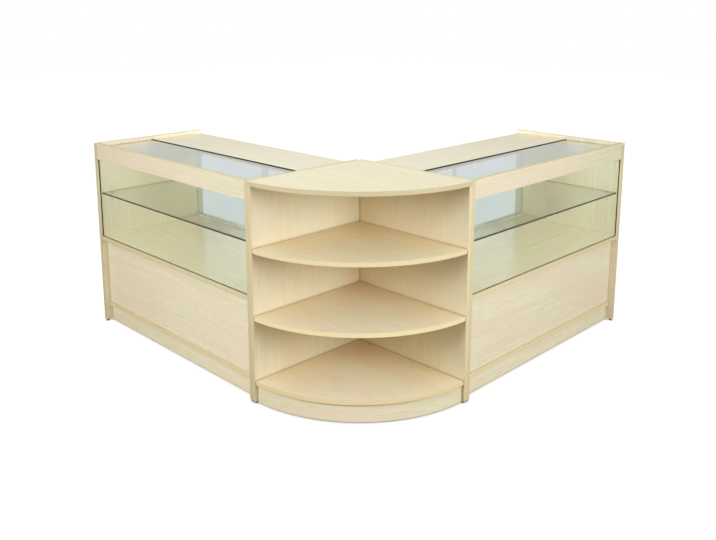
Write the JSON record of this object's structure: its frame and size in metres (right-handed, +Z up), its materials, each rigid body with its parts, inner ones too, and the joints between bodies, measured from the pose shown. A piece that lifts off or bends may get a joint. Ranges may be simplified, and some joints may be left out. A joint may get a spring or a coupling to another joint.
{
  "type": "shop counter",
  "caption": "L-shaped shop counter: glass-fronted display counters with sliding glass doors behind, joined by a quarter-round open shelf corner unit.",
  "frame": {"origin": "the middle of the floor area, at floor level", "axes": "+Z up; the left counter runs along X and faces -Y, the right counter runs along Y and faces +X, and the corner unit stands at +X, -Y"},
  "size_m": [1.8, 1.8, 0.9],
  "materials": {
    "maple_laminate": "satin",
    "clear_glass": "polished",
    "ivory_plastic": "satin",
    "nickel_steel": "nickel plated",
    "zinc_fittings": "zinc plated",
    "beech_dowels": "raw",
    "brown_plastic": "matte"
  },
  "bodies": {
    "root": {"left_outer_gable": "maple_laminate", "left_inner_gable": "maple_laminate", "left_front_rail": "maple_laminate", "left_worktop": "maple_laminate", "left_display_deck": "maple_laminate", "left_lower_panel": "maple_laminate", "left_base_board": "maple_laminate", "left_front_plinth": "maple_laminate", "left_back_plinth": "maple_laminate", "left_storage_shelf": "maple_laminate", "left_top_glass": "clear_glass", "left_front_glass": "clear_glass", "left_glass_shelf": "clear_glass", "left_glass_shelf_pegs": "nickel_steel", "left_storage_shelf_pegs": "nickel_steel", "left_upper_track": "ivory_plastic", "left_lower_track": "ivory_plastic", "left_cam_fittings": "zinc_fittings", "left_dowels": "beech_dowels", "left_glides": "brown_plastic", "right_outer_gable": "maple_laminate", "right_inner_gable": "maple_laminate", "right_front_rail": "maple_laminate", "right_worktop": "maple_laminate", "right_display_deck": "maple_laminate", "right_lower_panel": "maple_laminate", "right_base_board": "maple_laminate", "right_front_plinth": "maple_laminate", "right_back_plinth": "maple_laminate", "right_storage_shelf": "maple_laminate", "right_top_glass": "clear_glass", "right_front_glass": "clear_glass", "right_glass_shelf": "clear_glass", "right_glass_shelf_pegs": "nickel_steel", "right_storage_shelf_pegs": "nickel_steel", "right_upper_track": "ivory_plastic", "right_lower_track": "ivory_plastic", "right_cam_fittings": "zinc_fittings", "right_dowels": "beech_dowels", "right_glides": "brown_plastic", "corner_left_panel": "maple_laminate", "corner_right_panel": "maple_laminate", "corner_top": "maple_laminate", "corner_upper_shelf": "maple_laminate", "corner_lower_shelf": "maple_laminate", "corner_base_board": "maple_laminate", "corner_plinth": "maple_laminate", "corner_cam_fittings": "zinc_fittings", "corner_dowels": "beech_dowels", "corner_glides": "brown_plastic"},
    "left_back_door": {"left_back_door": "clear_glass"},
    "left_front_door": {"left_front_door": "clear_glass"},
    "right_back_door": {"right_back_door": "clear_glass"},
    "right_front_door": {"right_front_door": "clear_glass"}
  },
  "joints": [
    {"name": "left_back_door_slide", "type": "slide", "parent": "root", "child": "left_back_door", "axis": [1, 0, 0], "range_m": [0, 0.566]},
    {"name": "left_front_door_slide", "type": "slide", "parent": "root", "child": "left_front_door", "axis": [-1, 0, 0], "range_m": [0, 0.566]},
    {"name": "right_back_door_slide", "type": "slide", "parent": "root", "child": "right_back_door", "axis": [0, 1, 0], "range_m": [0, 0.566]},
    {"name": "right_front_door_slide", "type": "slide", "parent": "root", "child": "right_front_door", "axis": [0, -1, 0], "range_m": [0, 0.566]}
  ]
}
